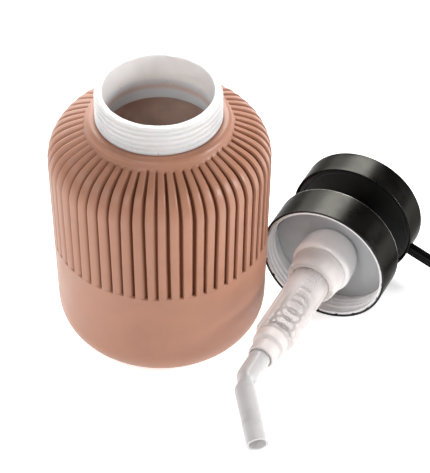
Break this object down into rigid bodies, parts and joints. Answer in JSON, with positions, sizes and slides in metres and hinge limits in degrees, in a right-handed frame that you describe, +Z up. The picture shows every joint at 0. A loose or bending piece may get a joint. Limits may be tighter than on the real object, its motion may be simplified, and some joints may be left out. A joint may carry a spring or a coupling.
{
  "type": "soap pump dispenser",
  "caption": "Ribbed resin soap bottle with a wide threaded neck, open, and its metal-capped lotion pump with dip tube laid beside it.",
  "frame": {"origin": "centre of the flat foot pad under the bottle, on the surface it stands on", "axes": "+Z up the bottle's axis; the pump unit lies on the same surface on the +X side, its dip tube pointing towards -Y"},
  "size_m": [0.1839, 0.1494, 0.1208],
  "materials": {
    "coloured_resin": "matte cast resin, dusty terracotta",
    "frosted_plastic": "translucent natural polypropylene",
    "foot_foam": "matte closed-cell foam",
    "black_metal": "satin black lacquer on drawn metal",
    "white_plastic": "semi-matte white polypropylene",
    "white_gloss_plastic": "glossy white polypropylene",
    "grey_washer": "matte pale grey foamed plastic",
    "clear_plastic": "milky translucent moulded plastic",
    "clear_tube": "milky translucent extruded tube",
    "spring_steel": "bright drawn spring wire",
    "ball_steel": "polished ball",
    "seal_plastic": "soft matte polyethylene",
    "black_plastic": "semi-matte black moulded plastic",
    "black_spout": "satin black lacquer on thin steel tube"
  },
  "bodies": {
    "bottle": {"bottle_shell": "coloured_resin", "neck_insert": "frosted_plastic", "base_pad": "foot_foam"},
    "housing": {"housing_cap": "white_gloss_plastic", "stem_guide": "white_plastic", "housing_ring": "clear_plastic", "pump_cylinder": "clear_plastic", "ball_cage": "white_plastic", "dip_tube": "clear_tube", "return_spring": "spring_steel"},
    "collar": {"collar_shell": "black_metal", "collar_liner": "white_plastic", "sealing_washer": "grey_washer"},
    "plunger": {"piston": "seal_plastic", "piston_rod": "white_plastic"},
    "head": {"stem": "white_plastic", "stem_sleeve": "black_plastic", "head_core": "black_plastic", "head_shell": "black_metal", "spout_tube": "black_spout"},
    "inlet_valve": {"inlet_ball": "ball_steel"},
    "outlet_valve": {"outlet_ball": "ball_steel"}
  },
  "joints": [
    {"name": "unit_lift", "type": "slide", "parent": "bottle", "child": "housing", "axis": [0.4, 0, 0.9165], "range_m": [0, 0.2]},
    {"name": "collar_turn", "type": "hinge", "parent": "housing", "child": "collar", "pos_m": [0.0669, 0.0014, 0.0275], "axis": [0.4305, 0.9026, 0], "continuous": true},
    {"name": "head_press", "type": "slide", "parent": "housing", "child": "plunger", "axis": [-0.4305, -0.9026, 0], "range_m": [0, 0.013], "stiffness_N_per_m": 400, "springref_m": -0.008, "deforming": ["return_spring"]},
    {"name": "head_swivel", "type": "hinge", "parent": "plunger", "child": "head", "pos_m": [0.0669, 0.0014, 0.0275], "axis": [0.4305, 0.9026, 0], "continuous": true},
    {"name": "inlet_ball_lift", "type": "slide", "parent": "housing", "child": "inlet_valve", "axis": [0.4305, 0.9026, 0], "range_m": [0, 0.0014]},
    {"name": "outlet_ball_lift", "type": "slide", "parent": "head", "child": "outlet_valve", "axis": [0.4305, 0.9026, 0], "range_m": [0, 0.0014]}
  ]
}
